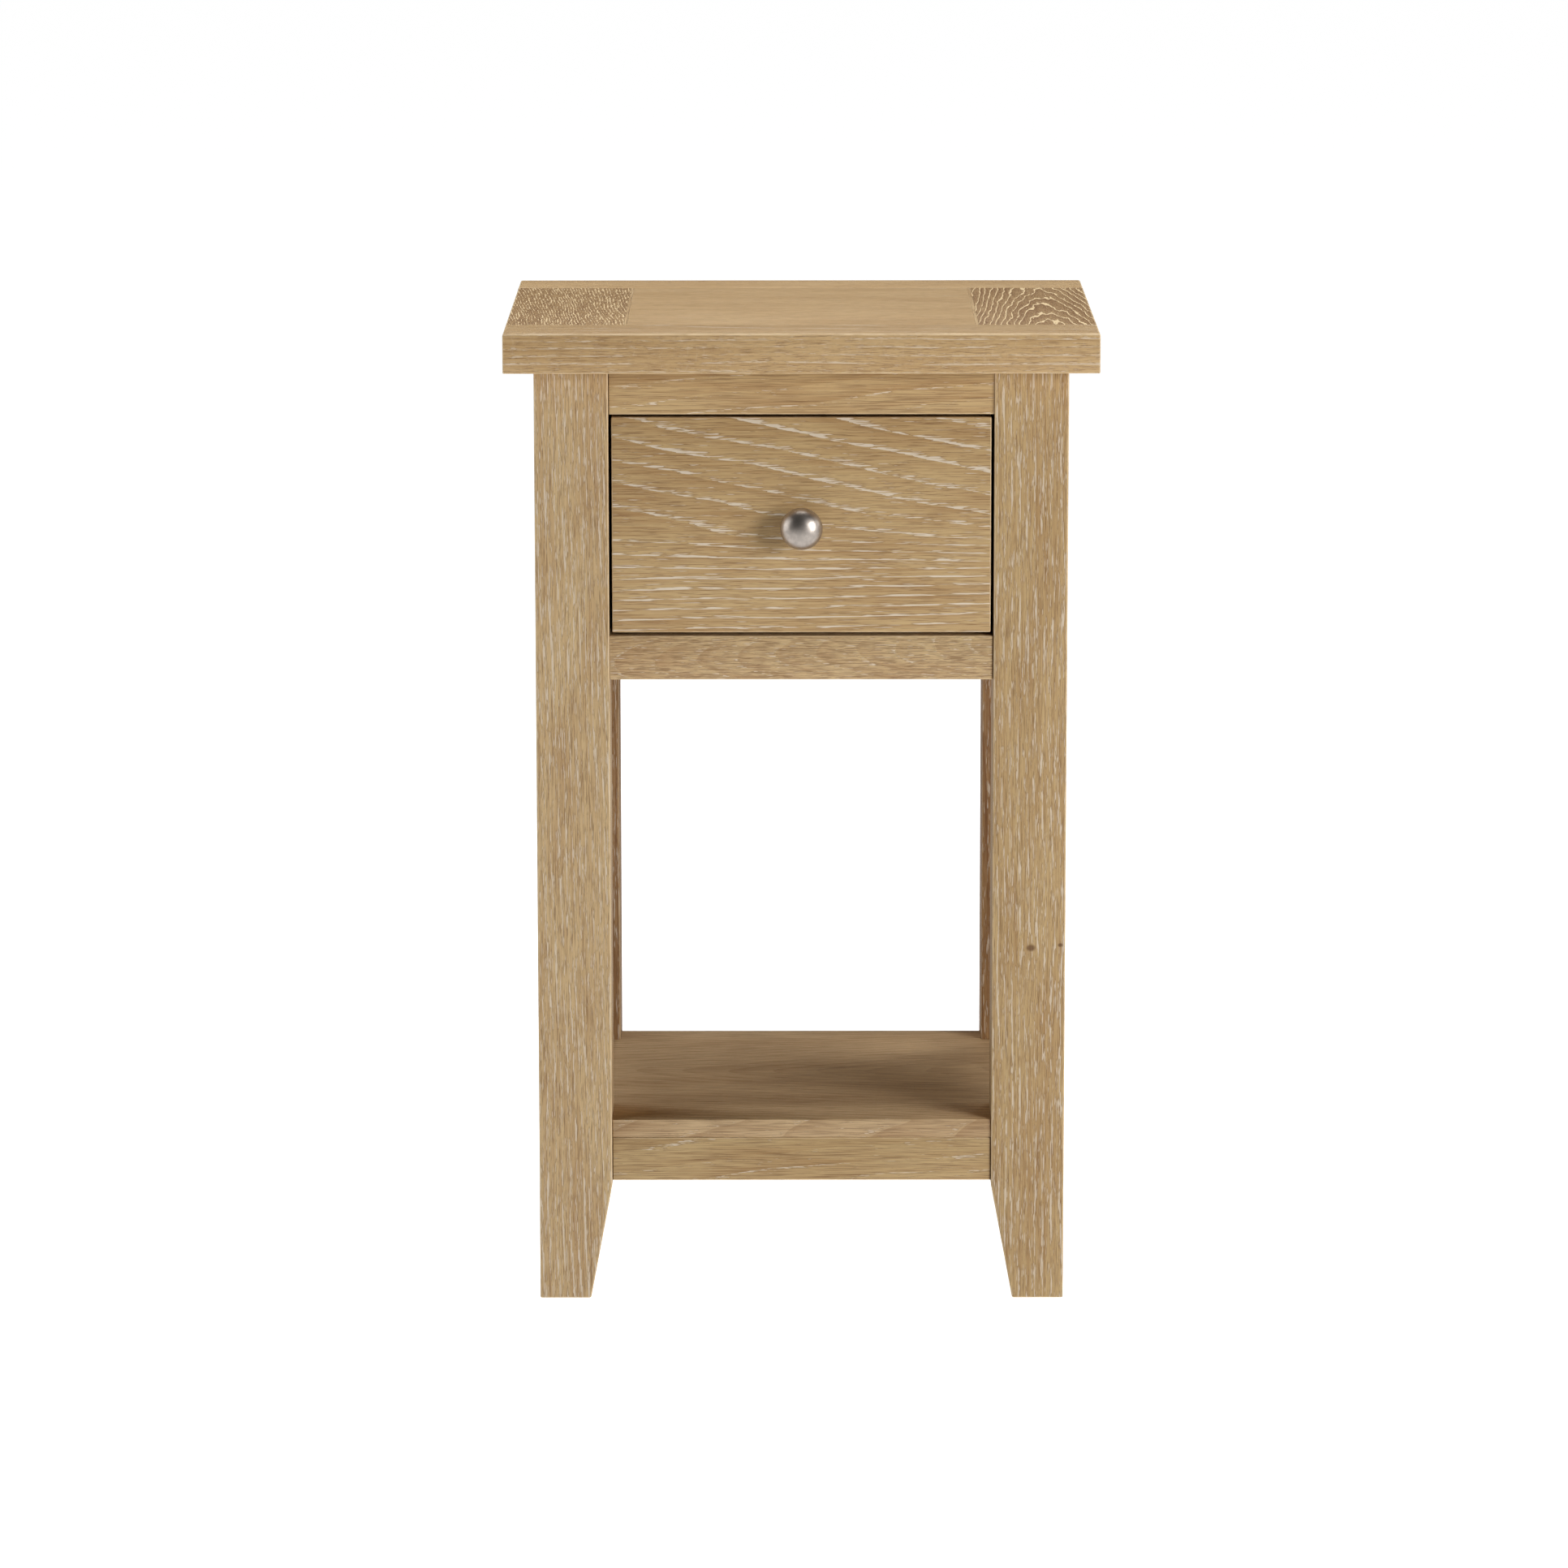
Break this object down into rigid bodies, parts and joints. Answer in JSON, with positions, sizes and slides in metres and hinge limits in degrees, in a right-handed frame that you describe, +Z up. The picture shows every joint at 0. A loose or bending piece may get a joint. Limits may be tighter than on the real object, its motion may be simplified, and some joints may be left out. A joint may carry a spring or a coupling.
{
  "type": "side table with drawer",
  "caption": "Small oak side table on tapered legs, with a framed top, a wooden drawer with a round metal knob, and a low open shelf.",
  "frame": {"origin": "on the floor, under the middle of the whole table with its knob", "axes": "+X to the right of someone facing the drawer, +Y to the back, +Z up"},
  "size_m": [0.4, 0.3272, 0.67],
  "materials": {
    "oak_frame": "limed oak, open pores filled pale, satin lacquer",
    "oak_top": "oak, fine straight grain, satin lacquer",
    "oak_end_boards": "limed oak laid across the top, coarse pale pores, satin lacquer",
    "oak_inlay": "thin oak line, satin lacquer",
    "oak_drawer_front": "limed oak, flat-sawn figure, satin lacquer",
    "drawer_lining": "plain pale wood, planed, thin clear lacquer",
    "satin_nickel": "satin nickel plate",
    "screw_steel": "zinc-plated steel, slightly yellow"
  },
  "bodies": {
    "carcass": {"apron_back": "oak_frame", "apron_left": "oak_frame", "apron_right": "oak_frame", "drawer_rail": "oak_frame", "drawer_stop_left": "drawer_lining", "drawer_stop_right": "drawer_lining", "guide_left": "drawer_lining", "guide_right": "drawer_lining", "guide_screw_left_1": "screw_steel", "guide_screw_left_2": "screw_steel", "guide_screw_right_1": "screw_steel", "guide_screw_right_2": "screw_steel", "kicker_left": "drawer_lining", "kicker_right": "drawer_lining", "leg_back_left": "oak_frame", "leg_back_right": "oak_frame", "leg_front_left": "oak_frame", "leg_front_right": "oak_frame", "lower_rail_back": "oak_frame", "lower_rail_front": "oak_frame", "lower_rail_left": "oak_frame", "lower_rail_right": "oak_frame", "runner_left": "drawer_lining", "runner_right": "drawer_lining", "runner_screw_left_1": "screw_steel", "runner_screw_left_2": "screw_steel", "runner_screw_right_1": "screw_steel", "runner_screw_right_2": "screw_steel", "shelf": "oak_frame", "shelf_screw_left_1": "screw_steel", "shelf_screw_left_2": "screw_steel", "shelf_screw_right_1": "screw_steel", "shelf_screw_right_2": "screw_steel", "top_board_back": "oak_top", "top_board_front": "oak_top", "top_end_left": "oak_end_boards", "top_end_right": "oak_end_boards", "top_field": "oak_top", "top_rail": "oak_frame", "top_screw_left_1": "screw_steel", "top_screw_left_2": "screw_steel", "top_screw_right_1": "screw_steel", "top_screw_right_2": "screw_steel", "top_string_left": "oak_inlay", "top_string_right": "oak_inlay"},
    "drawer": {"drawer_back": "drawer_lining", "drawer_bottom": "drawer_lining", "drawer_front": "oak_drawer_front", "drawer_side_left": "drawer_lining", "drawer_side_right": "drawer_lining", "knob": "satin_nickel", "knob_screw": "screw_steel", "knob_washer": "screw_steel"}
  },
  "joints": [
    {"name": "drawer_slide", "type": "slide", "parent": "carcass", "child": "drawer", "axis": [0, -1, 0], "range_m": [0, 0.18]}
  ]
}
